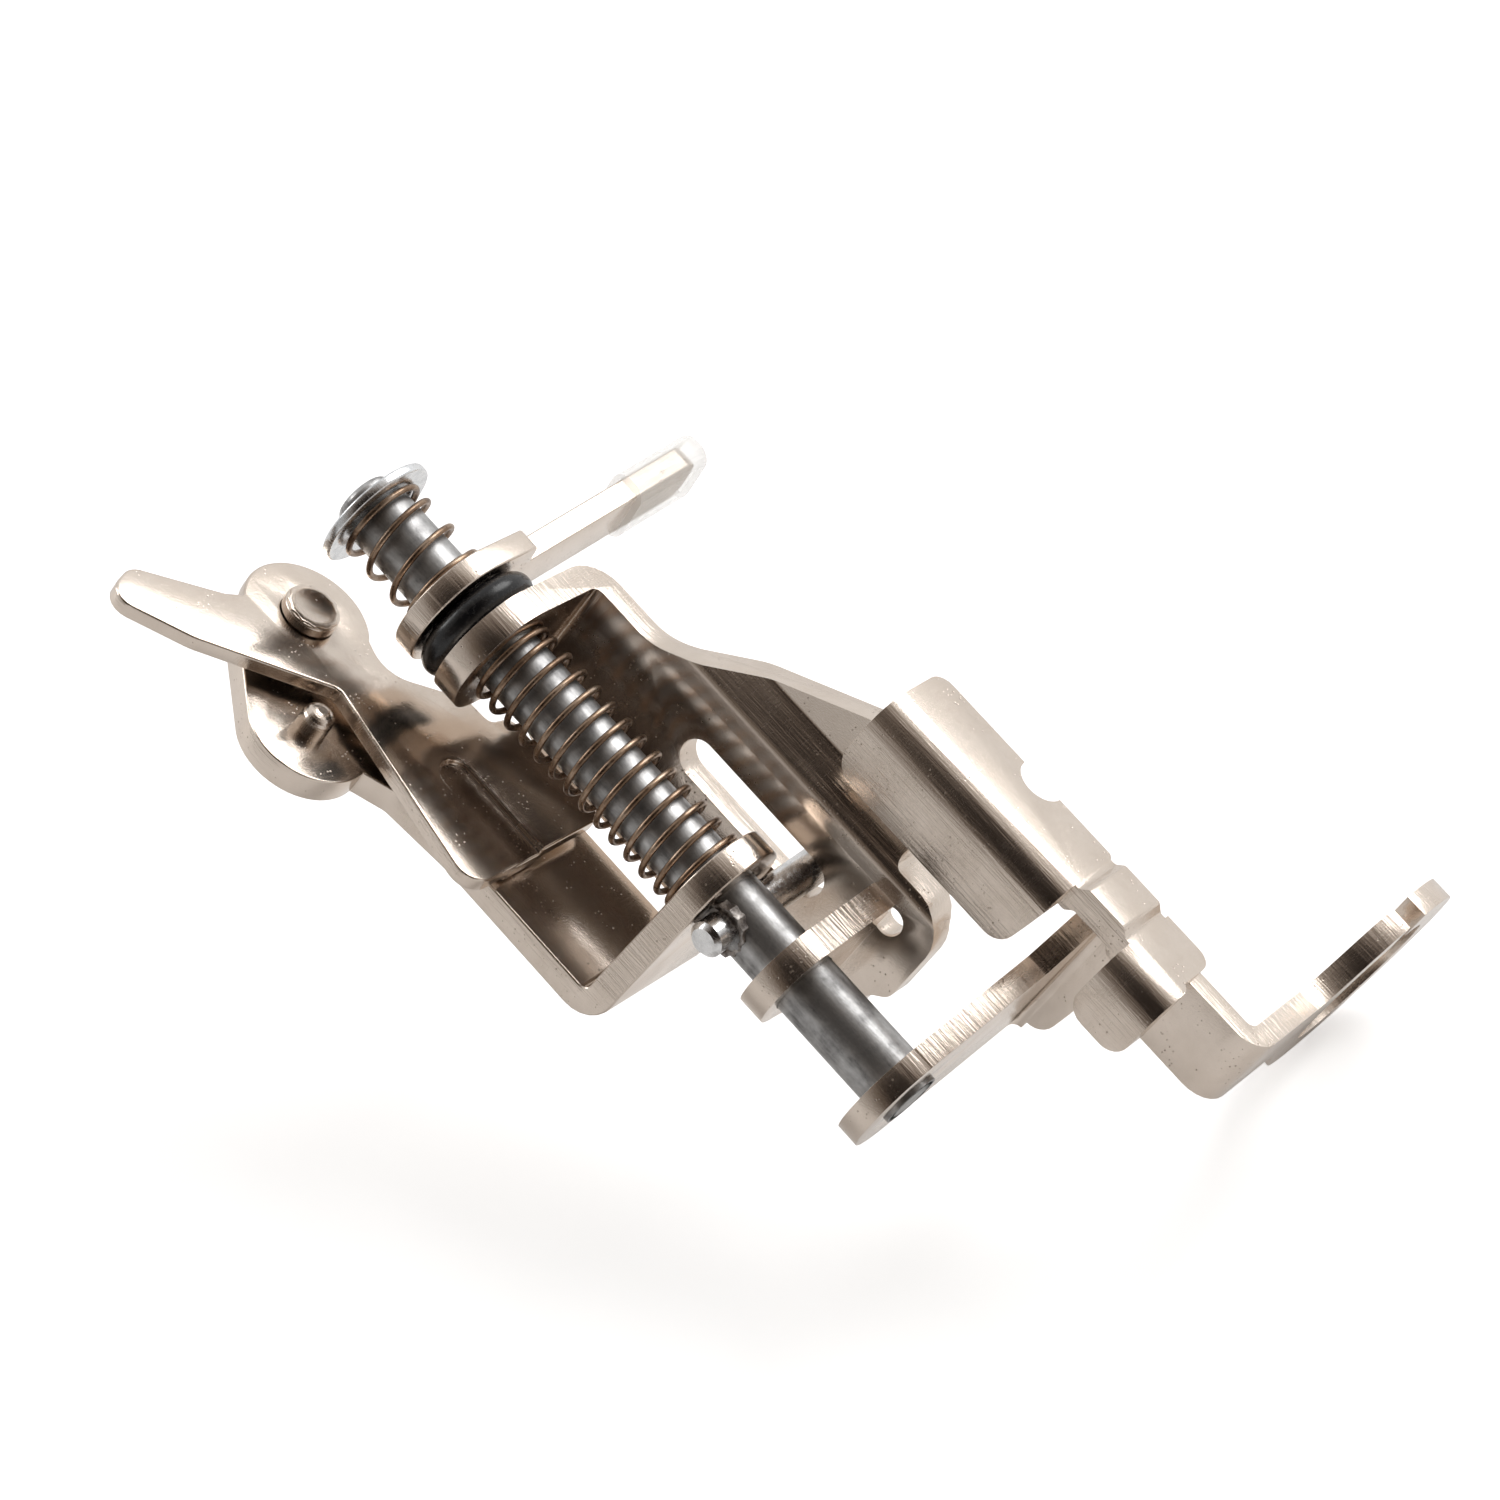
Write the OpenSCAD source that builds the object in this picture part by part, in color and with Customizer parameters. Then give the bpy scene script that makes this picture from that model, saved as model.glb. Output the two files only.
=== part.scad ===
// Spring-loaded embroidery presser foot with a back-mounted hopping plunger.
// Origin: centre of the needle opening, on the sole. +Z up along the needle,
// +X towards the front of the machine, +Y to the right of the presser bar.

/* [Plunger] */
// Diameter of the plunger shaft
shaft_d = 3.5; // [3:0.1:4.2]
// Diameter of the riveted necks at both ends of the shaft
neck_d = 2.4; // [1.8:0.1:2.6]
// Diameter of the cross pin
pin_d = 1.9; // [1.5:0.1:2.2]
// Height of the cross pin's axis above the foot plate's underside
pin_z = 11.95; // [11.6:0.05:15]
// Turn of the cross pin and its slot about the shaft
pin_turn = -9; // [-14:1:0]
// Upward travel of the plunger
plunger_travel = 2.8; // [1:0.1:2.8]
// Length that the pin's slot runs on past the plunger's travel
slot_spare = 4.8; // [2:0.1:5]

/* [Sheet metal] */
// Thickness of the frame, bracket and lifter sheet
sheet_t = 1.5; // [1.2:0.05:1.6]
// Thickness of the foot and arm sheet
foot_t = 1.25; // [1:0.05:1.5]
// Thickness of the finger lever
lever_t = 0.9; // [0.7:0.05:1]
// Inner radius of a bend
bend_r = 0.5; // [0.3:0.05:0.7]

/* [Frame] */
// Height of the frame's top flange face above the foot plate's underside
frame_top = 30.65; // [30:0.1:36]
// Distance from the shaft axis to the frame wall
wall_x = 4.6; // [4.4:0.1:6]
// Half width of the top flange and radius of its nose
flange_r = 3.5; // [3.2:0.1:4]
// Height of the guide flange's lower face above the foot plate's underside
guide_z = 7.45; // [6.5:0.05:8.5]
// Radius of the guide flange's nose
guide_r = 2.8; // [2.4:0.05:3.2]

/* [Presser bar bracket] */
// Distance from the shaft axis to the bracket web's outer face
bracket_y = 11.4; // [11:0.1:13]
// Width of the bracket, from its flange face to the notched edge
bracket_w = 5.3; // [4.8:0.1:6]
// Depth of the bracket's flanges
bracket_flange = 4.8; // [4:0.1:4.9]
// Height of the thumbscrew notch above the foot plate's underside
notch_z = 7; // [6:0.1:8]
// Radius of the thumbscrew notch
notch_r = 1.25; // [1:0.05:1.6]

/* [Foot] */
// Outer diameter of the toe ring
toe_d = 12.6; // [11.5:0.1:14]
// Diameter of the needle opening
opening_d = 8.4; // [6:0.1:9]
// Width of the thread slit in the toe ring
slit_w = 1.3; // [0.8:0.1:2]
// Drop from the foot plate's underside to the sole
sole_drop = 9.75; // [8:0.05:12]
// Distance from the shaft axis forward to the needle
needle_x = 24; // [22:0.1:27]
// Distance from the shaft axis left to the needle
needle_y = 7.5; // [7:0.1:8]
// Radius of the foot plate round the shaft
foot_r = 3.4; // [3.1:0.1:3.8]

/* [Needle clamp arm] */
// Distance from the shaft axis to the arm's tip
arm_len = 17; // [15:0.1:22]
// Width of the arm's bar
arm_w = 3; // [2.4:0.1:3.4]
// Turn of the arm about the shaft
arm_turn = -12; // [-20:1:0]
// Length of the clear sleeve on the arm's tip
sleeve_len = 5.2; // [4:0.1:7]
// Wall of the clear sleeve above and below the arm
sleeve_wall = 0.4; // [0.25:0.05:0.5]
// Travel of the arm up to the closed lift spring
arm_travel = 3; // [1:0.1:3.2]
// Height left for the lift spring when the arm is at its top
lift_closed = 2.3; // [2.1:0.1:4]

/* [Springs and ring] */
// Wire diameter of both springs
wire_d = 0.34; // [0.25:0.01:0.4]
// Gap between the shaft and the inside of both springs
coil_gap = 0.335; // [0.2:0.005:0.4]
// Turns of the main spring
main_turns = 14; // [10:1:16]
// Turns of the lift spring
lift_turns = 4; // [3:1:5]
// Cross-section of the rubber ring
ring_cord = 1.6; // [1.5:0.05:1.9]
// Outside diameter of the top washer
washer_d = 6.5; // [5.5:0.1:7]
// Thickness of the top washer
washer_t = 0.5; // [0.4:0.1:0.8]

/* [Lifter] */
// Radius of the lifter's flange round the shaft
lifter_r = 3.25; // [3:0.05:3.4]
// Distance from the shaft axis to the lifter web's front face
web_y = 6.9; // [6.6:0.1:7.8]
// Gap between the finger lever and the lifter web
lever_gap = 0.55; // [0.4:0.05:0.9]
// Diameter of the lever's pivot
pivot_d = 2; // [1.6:0.1:2.4]
// Diameter of the pivot rivet's head
pivot_head_d = 3; // [2.6:0.1:3.4]

/* [Fits] */
// Radial clearance of a running fit
run_clear = 0.05; // [0.02:0.01:0.08]
// Gap between pieces that stand apart
part_gap = 0.1; // [0.05:0.01:0.2]

/* [Hidden] */
$fn = 64;

nickel = [0.80, 0.74, 0.68];
steel = [0.50, 0.50, 0.51];
bronze = [0.42, 0.30, 0.21];
zinc = [0.83, 0.85, 0.86];

shaft_r = shaft_d / 2;
bend_out = bend_r + sheet_t;
wall_out = wall_x + sheet_t;
flange_low = frame_top - sheet_t;
slot_r = pin_d / 2 / cos(pin_turn) + sheet_t / 2 * tan(abs(pin_turn)) + run_clear;
slot_y = (wall_x + sheet_t / 2) * tan(pin_turn);
lifter_low = pin_z + pin_d / 2 + part_gap;
lifter_top = lifter_low + sheet_t;
arm_low = frame_top + ring_cord + part_gap;
arm_top = arm_low + foot_t;
shaft_len = arm_top + arm_travel + lift_closed;
lever_y = web_y - lever_gap - lever_t;
web_in = bracket_y - sheet_t;
notch_x = wall_x + bracket_w;
coil_r = shaft_r + coil_gap + wire_d / 2;
far = 60;

// Corner points of the lifter and the lever, on the X and Z axes of the shaft
pivot = [-2.7, frame_top + 7.25];
ear = [-6.5, frame_top + 2.4];
ear_r = 3.4;
lobe_r = 3.5;
slot_rise = plunger_travel + slot_spare;
neck_z = frame_top - 2.1;

// Places what is drawn about the shaft into the part's frame
module place() {
    translate([-needle_x, needle_y, sole_drop]) children();
}

// Points of a corner at b, rounded to radius r, between a and c
function unit(v) = v / norm(v);
function corner(a, b, c, r, steps = 6) =
    let (u = unit(a - b), v = unit(c - b),
         half = acos(max(-1, min(1, u * v))) / 2,
         mid = b + unit(u + v) * r / sin(half),
         from = b + u * r / tan(half) - mid,
         to = b + v * r / tan(half) - mid,
         start = atan2(from[1], from[0]),
         turn = (atan2(to[1], to[0]) - start + 540) % 360 - 180)
    [for (i = [0:steps]) mid + r * [cos(start + turn * i / steps), sin(start + turn * i / steps)]];

// Outline from corners [x, y, radius]; a radius of 0 is a sharp corner
function rounded(c) =
    let (n = len(c), at = [for (q = c) [q[0], q[1]]])
    [for (i = [0:n - 1])
        each (c[i][2] > 0
            ? corner(at[(i + n - 1) % n], at[i], at[(i + 1) % n], c[i][2])
            : [at[i]])];

module outline(corners) { polygon(rounded(corners)); }

// Plates: upright across Y, upright across X, and flat
module plate_across_y(y, t) {
    translate([0, y + t, 0]) rotate([90, 0, 0]) linear_extrude(t) children();
}
module plate_across_x(x, t) {
    translate([x, 0, 0]) rotate([90, 0, 90]) linear_extrude(t) children();
}
module plate_flat(z, t) {
    translate([0, 0, z]) linear_extrude(t) children();
}
module bore(r, z, h) {
    translate([0, 0, z - 1]) cylinder(r = r, h = h + 2);
}

// A wire coil as a closed tube: fine rings swept along the helix
module coil(turns, z0, z1) {
    steps = 20 * turns;
    sides = 6;
    dead = 0.75;
    rise = z1 - z0 - wire_d;
    function height(k) =
        let (t = k * turns, flat = wire_d * dead,
             lead = (rise - 2 * flat) / (turns - 2 * dead))
        t < dead ? wire_d * t
        : t > turns - dead ? rise - wire_d * (turns - t)
        : flat + (t - dead) * lead;
    rings = [for (i = [0:steps])
        let (k = i / steps, a = 360 * turns * k, z = z0 + wire_d / 2 + height(k))
        for (s = [0:sides - 1])
            let (b = 360 * s / sides, r = coil_r + wire_d / 2 * cos(b))
            [r * cos(a), r * sin(a), z + wire_d / 2 * sin(b)]];
    skin = [for (i = [0:steps - 1]) for (s = [0:sides - 1])
        [i * sides + s, i * sides + (s + 1) % sides,
         (i + 1) * sides + (s + 1) % sides, (i + 1) * sides + s]];
    ends = [[for (s = [sides - 1:-1:0]) s], [for (s = [0:sides - 1]) steps * sides + s]];
    polyhedron(rings, concat(skin, ends));
}

// ---- Frame body ----

// Side view of the frame wall, on Y and Z
module frame_wall_outline() {
    outline([
        [flange_r, frame_top, 0], [-flange_r, frame_top, 0],
        [-flange_r, flange_low - 4, 4], [-web_in + 0.7, frame_top - 16.2, 1.5],
        [-web_in + 0.7, guide_z + 1.5, 0.8], [-5.1, guide_z + 1.5, 0.6],
        [-5.1, 4.6, 2.2], [0.4, 4.6, 0.8], [1.2, 5.5, 0.8], [4, 5.7, 1.2], [4, 15, 0.8],
        [6.2, 16.4, 0.8], [6.2, flange_low - 1.6, 1.4], [flange_r, flange_low - 0.6, 0]
    ]);
}

// Plan view of the frame wall: straight, then stepped out by a sheet's thickness
module frame_wall_plan() {
    step_x = sheet_t;
    outline([
        [wall_x, 8, 0], [wall_x, -4.8, 0.8], [wall_x + step_x, -6.4, 0.5],
        [wall_x + step_x, -bracket_y, 0], [wall_out + step_x, -bracket_y, 0],
        [wall_out + step_x, -5.9, 0.8], [wall_out, -4.3, 0.8], [wall_out, 8, 0]
    ]);
}

module frame_flange_plan() {
    circle(flange_r);
    translate([0, -flange_r]) square([wall_out, 2 * flange_r]);
}

module guide_flange_plan() {
    circle(guide_r);
    polygon([[0, guide_r], [wall_x + 0.2, 3.8], [wall_x + 0.2, -3.8], [0, -guide_r]]);
}

module plunger_frame() {
    color(nickel) place() difference() {
        union() {
            intersection() {
                plate_flat(0, frame_top - bend_out) frame_wall_plan();
                plate_across_x(wall_x, 2 * sheet_t) frame_wall_outline();
            }
            intersection() {
                translate([0, far / 2, 0]) rotate([90, 0, 0]) linear_extrude(far)
                    outline([
                        [-far / 2, flange_low, 0], [wall_x, flange_low, bend_r],
                        [wall_x, frame_top - bend_out, 0], [wall_out, frame_top - bend_out, 0],
                        [wall_out, frame_top, bend_out], [-far / 2, frame_top, 0]
                    ]);
                plate_flat(flange_low - bend_r, bend_out) frame_flange_plan();
            }
            plate_flat(guide_z, sheet_t) guide_flange_plan();
        }
        bore(shaft_r + run_clear, guide_z, frame_top);
        // slot for the cross pin
        plate_across_x(wall_x - 1, sheet_t + 2) {
            translate([slot_y, pin_z - 0.2]) circle(slot_r);
            translate([slot_y, pin_z + slot_rise]) circle(slot_r);
            translate([slot_y - slot_r, pin_z - 0.2]) square([2 * slot_r, slot_rise + 0.2]);
        }
        // relief under the guide flange's root
        plate_across_x(wall_x, sheet_t + 1) translate([-2.8, guide_z - 0.3]) circle(0.8);
    }
}

// Web and flanges of the bracket that holds the presser bar
module bracket_section() {
    outline([
        [wall_x, -bracket_y, bend_out], [notch_x, -bracket_y, 0], [notch_x, -web_in, 0],
        [wall_out, -web_in, bend_r], [wall_out, -bracket_y + bracket_flange, 0],
        [wall_x, -bracket_y + bracket_flange, 0]
    ]);
}

module presser_bar_bracket() {
    block_low = 1.9;
    block_top = 14.3;
    foot_low = -5;
    foot_top = -1.9;
    strap_out = 0.4;
    color(nickel) place() {
        intersection() {
            plate_flat(block_low, block_top - block_low) bracket_section();
            union() {
                plate_across_y(-bracket_y, bracket_flange) difference() {
                    outline([
                        [wall_x - 1, block_low, 0], [notch_x, block_low, 0.4],
                        [notch_x, block_top, 0.9], [wall_x - 1, block_top, 0]
                    ]);
                    translate([notch_x, notch_z]) circle(notch_r);
                }
            }
            plate_across_x(wall_x - 1, bracket_w + 2) outline([
                [-bracket_y - 1, block_low, 0], [-web_in, block_low, 0],
                [-bracket_y + bracket_flange, block_low + 0.5, 1.2],
                [-bracket_y + bracket_flange, block_top, 1.4], [-bracket_y - 1, block_top, 0]
            ]);
        }
        intersection() {
            plate_flat(foot_low - 0.4, foot_top - foot_low + 0.4) bracket_section();
            plate_across_x(wall_x - 1, bracket_w + 2) outline([
                [-bracket_y - 1, foot_low - 0.4, 0], [-bracket_y + bracket_flange - 0.5, foot_low - 0.4, 1.1],
                [-bracket_y + bracket_flange - 0.5, foot_top, 1.1], [-bracket_y - 1, foot_top, 0]
            ]);
            plate_across_y(-bracket_y, bracket_flange) outline([
                [wall_x - 1, foot_low - 0.4, 0], [wall_out + 0.6, foot_low - 0.4, 0.6],
                [wall_out + 1, foot_low, 0.4], [notch_x, foot_low, 0.9],
                [notch_x, foot_top, 0], [wall_x - 1, foot_top, 0]
            ]);
        }
        // strap between the two channels, pressed outwards
        intersection() {
            translate([wall_x, 0, 0]) rotate([90, 0, 90]) linear_extrude(bracket_w)
                outline([
                    [-bracket_y, foot_top, 0], [-web_in, foot_top, 0],
                    [-web_in, foot_top + 0.4, 0.3], [-web_in - strap_out, foot_top + 0.8, 0.3],
                    [-web_in - strap_out, block_low - 0.8, 0.3], [-web_in, block_low - 0.4, 0.3],
                    [-web_in, block_low, 0], [-bracket_y, block_low, 0],
                    [-bracket_y, block_low - 0.3, 0.3], [-bracket_y - strap_out, block_low - 0.7, 0.3],
                    [-bracket_y - strap_out, foot_top + 0.7, 0.3], [-bracket_y, foot_top + 0.3, 0.3]
                ]);
            plate_across_y(-bracket_y - 1, sheet_t + 1) outline([
                [wall_x + 1.4, foot_top, 0], [notch_x - 0.3, foot_top, 0],
                [notch_x - 0.3, block_low, 0], [wall_x + 1.4, block_low, 0]
            ]);
        }
    }
}

module bumper_ring() {
    color([0.05, 0.05, 0.06]) place()
        translate([0, 0, frame_top + ring_cord / 2]) rotate_extrude()
            translate([shaft_r + run_clear + ring_cord / 2, 0]) circle(ring_cord / 2);
}

module main_spring() {
    color(bronze) place() coil(main_turns, lifter_top, flange_low);
}

// ---- Plunger body ----

module plunger_shaft() {
    head_r = neck_d / 2 + 0.35;
    color(steel) place() difference() {
        union() {
            translate([0, 0, foot_t]) cylinder(r = shaft_r, h = shaft_len - foot_t);
            cylinder(d = neck_d, h = shaft_len);
            // riveted end under the foot plate
            translate([0, 0, -0.2]) cylinder(r = head_r, h = 0.2);
            // peened end over the washer
            translate([0, 0, shaft_len]) cylinder(d = neck_d, h = washer_t);
            translate([0, 0, shaft_len + washer_t]) rotate_extrude()
                outline([[0, 0, 0], [head_r, 0, 0], [head_r, 0.9, 0.35], [0, 0.9, 0]]);
        }
        translate([0, 0, pin_z]) rotate([0, 90, pin_turn])
            cylinder(d = pin_d, h = 2 * shaft_d, center = true);
    }
}

module cross_pin() {
    back = shaft_r + 1.3;
    front = (wall_out + 0.5) / cos(pin_turn);
    chamfer = 0.25;
    color(zinc) place() translate([0, 0, pin_z]) rotate([0, 90, pin_turn]) rotate_extrude()
        polygon([
            [0, -back], [pin_d / 2 - chamfer, -back], [pin_d / 2, -back + chamfer],
            [pin_d / 2, front - chamfer], [pin_d / 2 - chamfer, front], [0, front]
        ]);
}

// Section of the foot on X and Z: foot plate, leg and toe
module foot_section(leg_x) {
    outline([
        [-far / 2, 0, 0], [leg_x, 0, bend_r], [leg_x, -sole_drop, bend_r + foot_t],
        [far, -sole_drop, 0], [far, foot_t - sole_drop, 0],
        [leg_x + foot_t, foot_t - sole_drop, bend_r], [leg_x + foot_t, foot_t, bend_r + foot_t],
        [-far / 2, foot_t, 0]
    ]);
}

module sewing_foot() {
    leg_x = notch_x;
    leg_w = 4.4;
    left = -web_in + 0.25;
    toe_r = toe_d / 2;
    color(nickel) place() difference() {
        intersection() {
            translate([0, far / 2, 0]) rotate([90, 0, 0]) linear_extrude(far) foot_section(leg_x);
            union() {
                // foot plate: ring round the shaft and the wedge to the leg
                plate_flat(-bend_r, foot_t + bend_r) {
                    circle(foot_r);
                    outline([
                        [0, foot_r - 0.02, 0], [leg_x + foot_t, -0.8, 0], [leg_x + foot_t, left, 0],
                        [leg_x - 0.2, left, 0.8], [wall_out + 0.3, -6.2, 0.8], [-1.2, 0.1 - foot_r, 0]
                    ]);
                }
                // leg
                plate_across_x(leg_x, foot_t + bend_r) outline([
                    [left, foot_t, 0], [left, -sole_drop, 0], [left + leg_w, -sole_drop, 0],
                    [left + leg_w, -2, 0.8], [-0.8, -1.5, 1.2], [-0.8, foot_t, 0]
                ]);
                // toe with its ring
                plate_flat(-sole_drop, foot_t + bend_r) {
                    translate([needle_x, -needle_y]) circle(toe_r);
                    outline([
                        [leg_x, left, 0], [needle_x - toe_r - 0.6, left, 3],
                        [needle_x - 3.4, -needle_y - toe_r + 1.2, 0],
                        [needle_x - 3.4, -needle_y + toe_r - 1.2, 0],
                        [needle_x - toe_r - 0.6, left + leg_w, 3], [leg_x, left + leg_w, 0]
                    ]);
                }
            }
        }
        translate([needle_x, -needle_y, -sole_drop - 1]) cylinder(d = opening_d, h = foot_t + 2);
        // thread slit
        translate([needle_x, -needle_y, -sole_drop - 1]) rotate([0, 0, -105])
            translate([0, -slit_w / 2, 0]) cube([toe_d, slit_w, foot_t + 2]);
        bore(neck_d / 2, 0, foot_t);
    }
}

module top_washer() {
    color(zinc) place() difference() {
        translate([0, 0, shaft_len]) cylinder(d = washer_d, h = washer_t);
        bore(neck_d / 2, shaft_len, washer_t);
    }
}

// ---- Arm body ----

module lift_spring() {
    color(bronze) place() coil(lift_turns, arm_top, shaft_len);
}

module needle_clamp_arm() {
    shoulder = 4;
    wide = flange_r - 0.7;
    ends = acos(1 / flange_r);
    nose = [for (a = [ends:6:360 - ends]) flange_r * [cos(a), sin(a)]];
    color(nickel) place() rotate([0, 0, arm_turn]) difference() {
        plate_flat(arm_low, foot_t) outline(concat(
            [for (q = nose) [q[0], q[1], 0]],
            [
                [shoulder, -wide, 0.5], [shoulder, -arm_w / 2, 0.1], [arm_len, -arm_w / 2, 0.9],
                [arm_len, arm_w / 2, 0.9], [shoulder, arm_w / 2, 0.1], [shoulder, wide, 0.5]
            ]
        ));
        bore(shaft_r + run_clear, arm_low, foot_t);
    }
}

// Clear flat tube pushed over the arm's tip
module arm_sleeve() {
    half_w = arm_w / 2 + 1.5 * sleeve_wall;
    high = foot_t + 2 * sleeve_wall;
    fit = 0.02;
    past = 0.25;
    color([0.9, 0.9, 0.9, 0.35]) place() rotate([0, 0, arm_turn])
        translate([arm_len - sleeve_len + past, 0, arm_low + foot_t / 2]) difference() {
            rotate([90, 0, 90]) linear_extrude(sleeve_len) outline([
                [-half_w, -high / 2, high / 2.2], [half_w, -high / 2, high / 2.2],
                [half_w, high / 2, high / 2.2], [-half_w, high / 2, high / 2.2]
            ]);
            translate([-1, -arm_w / 2 - fit, -foot_t / 2 - fit])
                cube([sleeve_len + 2, arm_w + 2 * fit, foot_t + 2 * fit]);
        }
}

// ---- Lifter body ----

// Web of the lifter with its two lobes
module lifter_web_outline() {
    left = -lifter_r - 1.15;
    right = wall_x - 0.7;
    outline([
        [left, lifter_low, 0], [right, lifter_low, 0], [right, neck_z - 2.6, 1.5],
        [1.2, neck_z + 0.8, 2], [0.3, pivot[1] - 1, 0], [pivot[0], pivot[1] - 1, 0],
        [ear[0] + 0.2, ear[1] - 1, 0], [ear[0] + 0.5, ear[1] + 0.4 - ear_r, 0],
        [-4.9, neck_z - 0.6, 1.2], [left, neck_z - 5, 3]
    ]);
    translate(ear) circle(ear_r);
    translate(pivot) circle(lobe_r - 0.3);
    // tangent between the two lobes
    polygon([pivot + [-2.4, 2.1], ear + [-2.5, 2.3], ear, pivot]);
}

module lifter_bracket() {
    left = -lifter_r - 1.15;
    color(nickel) place() difference() {
        intersection() {
            translate([-far / 2, 0, 0]) rotate([90, 0, 90]) linear_extrude(far)
                outline([
                    [-far / 2, lifter_low, 0], [web_y + sheet_t, lifter_low, bend_out],
                    [web_y + sheet_t, far, 0], [web_y, far, 0],
                    [web_y, lifter_top, bend_r], [-far / 2, lifter_top, 0]
                ]);
            union() {
                plate_across_y(web_y - bend_r, sheet_t + bend_r) lifter_web_outline();
                plate_flat(lifter_low, sheet_t + bend_r) {
                    circle(lifter_r);
                    polygon([
                        [0.02 - lifter_r, 0], [left, web_y - 1], [left, web_y + sheet_t],
                        [wall_x - 0.7, web_y + sheet_t], [wall_x - 0.7, web_y - 1], [lifter_r - 0.02, 0]
                    ]);
                }
            }
        }
        bore(shaft_r + run_clear, lifter_low, sheet_t);
        plate_across_y(web_y - 1, sheet_t + 2) translate(pivot) circle(pivot_d / 2);
        plate_across_y(web_y - 1, sheet_t + 2) translate(ear) circle(0.6);
    }
}

// Domed rivet that stops the lever's swing
module stop_rivet() {
    reach = web_y - lever_y - 0.1;
    color(nickel) place() translate([ear[0], web_y + sheet_t, ear[1]]) rotate([90, 0, 0])
        rotate_extrude() outline([
            [0, -0.15, 0], [1, -0.15, 0], [1, 0, 0], [0.6, 0, 0], [0.6, sheet_t, 0], [0.85, sheet_t, 0],
            [0.85, sheet_t + reach, 0.6], [0, sheet_t + reach, 0]
        ]);
}

// ---- Lever body ----

// Finger tab, lobe round the pivot and the blade below it
module lever_outline() {
    low = frame_top - 9.3;
    outline([
        [pivot[0], pivot[1], 0], [-5, frame_top + 9.6, 0], [-6.2, frame_top + 10.2, 1.5],
        [-10.1, frame_top + 13.5, 1.1],
        [-12.7, frame_top + 12.7, 1.1], [-10, frame_top + 8.6, 4], [-4.6, frame_top + 3, 0.7],
        [-7.2, low, 1.3], [wall_x - 0.8, low, 0.6], [wall_x - 0.8, neck_z - 0.3, 0.7],
        [2.3, neck_z, 0.5], [2.2, neck_z + 1.7, 1], [-1.2, frame_top + 2.7, 2], [0, pivot[1] - 1.6, 0]
    ]);
    translate(pivot) circle(lobe_r);
}

module lever_rib_outline(r) {
    rib_x = -2.3;
    low = frame_top - 9.3;
    translate([rib_x, low + 5.4]) circle(r);
    translate([rib_x - r, low - 1]) square([2 * r, 6.4]);
}

module finger_lever() {
    deep = 0.35;
    color(nickel) place() difference() {
        union() {
            plate_across_y(lever_y, lever_t) lever_outline();
            intersection() {
                plate_across_y(lever_y + lever_t / 2, lever_t / 2 + deep) lever_rib_outline(1.5);
                plate_across_y(lever_y, 2 * lever_t) lever_outline();
            }
        }
        plate_across_y(lever_y - 1, 1 + deep) lever_rib_outline(1.05);
        plate_across_y(lever_y - 1, lever_t + 2) translate(pivot) circle(pivot_d / 2 + run_clear);
    }
}

module lever_pivot_rivet() {
    r = pivot_d / 2;
    head_r = pivot_head_d / 2;
    head_t = 0.55;
    front = web_y + sheet_t - lever_y + part_gap;
    color(nickel) place() translate([pivot[0], web_y + sheet_t, pivot[1]]) rotate([90, 0, 0])
        rotate_extrude() outline([
            [0, -0.4, 0], [r + 0.4, -0.4, 0.2], [r + 0.4, 0, 0], [r, 0, 0], [r, sheet_t, 0],
            [r + 0.6, sheet_t, 0], [r + 0.6, sheet_t + lever_gap - part_gap, 0],
            [r, sheet_t + lever_gap - part_gap, 0], [r, front, 0], [head_r, front, 0],
            [head_r, front + head_t, 0.15], [head_r - 0.35, front + head_t, 0],
            [head_r - 0.5, front + head_t - 0.2, 0], [0, front + head_t - 0.2, 0]
        ]);
}

plunger_frame();
presser_bar_bracket();
bumper_ring();
main_spring();
plunger_shaft();
cross_pin();
sewing_foot();
top_washer();
lift_spring();
needle_clamp_arm();
arm_sleeve();
lifter_bracket();
stop_rivet();
finger_lever();
lever_pivot_rivet();
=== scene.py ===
import math
import bpy
from mathutils import Matrix, Vector


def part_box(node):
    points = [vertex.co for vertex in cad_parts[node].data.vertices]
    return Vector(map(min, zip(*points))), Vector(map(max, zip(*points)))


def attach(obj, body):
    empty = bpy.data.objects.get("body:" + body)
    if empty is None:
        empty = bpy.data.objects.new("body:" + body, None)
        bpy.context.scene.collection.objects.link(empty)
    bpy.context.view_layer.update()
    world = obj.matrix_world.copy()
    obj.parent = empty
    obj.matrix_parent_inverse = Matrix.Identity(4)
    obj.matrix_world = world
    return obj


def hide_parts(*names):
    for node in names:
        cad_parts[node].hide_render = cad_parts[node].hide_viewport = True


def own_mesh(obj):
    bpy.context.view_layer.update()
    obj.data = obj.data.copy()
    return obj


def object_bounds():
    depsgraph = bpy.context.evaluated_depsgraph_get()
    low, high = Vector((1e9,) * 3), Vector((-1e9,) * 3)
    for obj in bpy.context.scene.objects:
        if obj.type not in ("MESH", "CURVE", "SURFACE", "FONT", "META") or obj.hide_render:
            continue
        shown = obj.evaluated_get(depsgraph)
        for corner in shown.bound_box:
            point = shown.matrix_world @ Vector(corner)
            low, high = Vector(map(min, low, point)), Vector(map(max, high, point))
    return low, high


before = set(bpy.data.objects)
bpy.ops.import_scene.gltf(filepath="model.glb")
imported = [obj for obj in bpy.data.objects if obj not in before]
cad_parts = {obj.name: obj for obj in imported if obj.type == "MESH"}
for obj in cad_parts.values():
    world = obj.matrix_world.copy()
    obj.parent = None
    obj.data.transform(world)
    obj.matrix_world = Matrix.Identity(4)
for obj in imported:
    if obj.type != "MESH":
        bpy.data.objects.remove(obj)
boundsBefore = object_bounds()
print("frame loaded:", len(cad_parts), "nodes")

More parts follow.
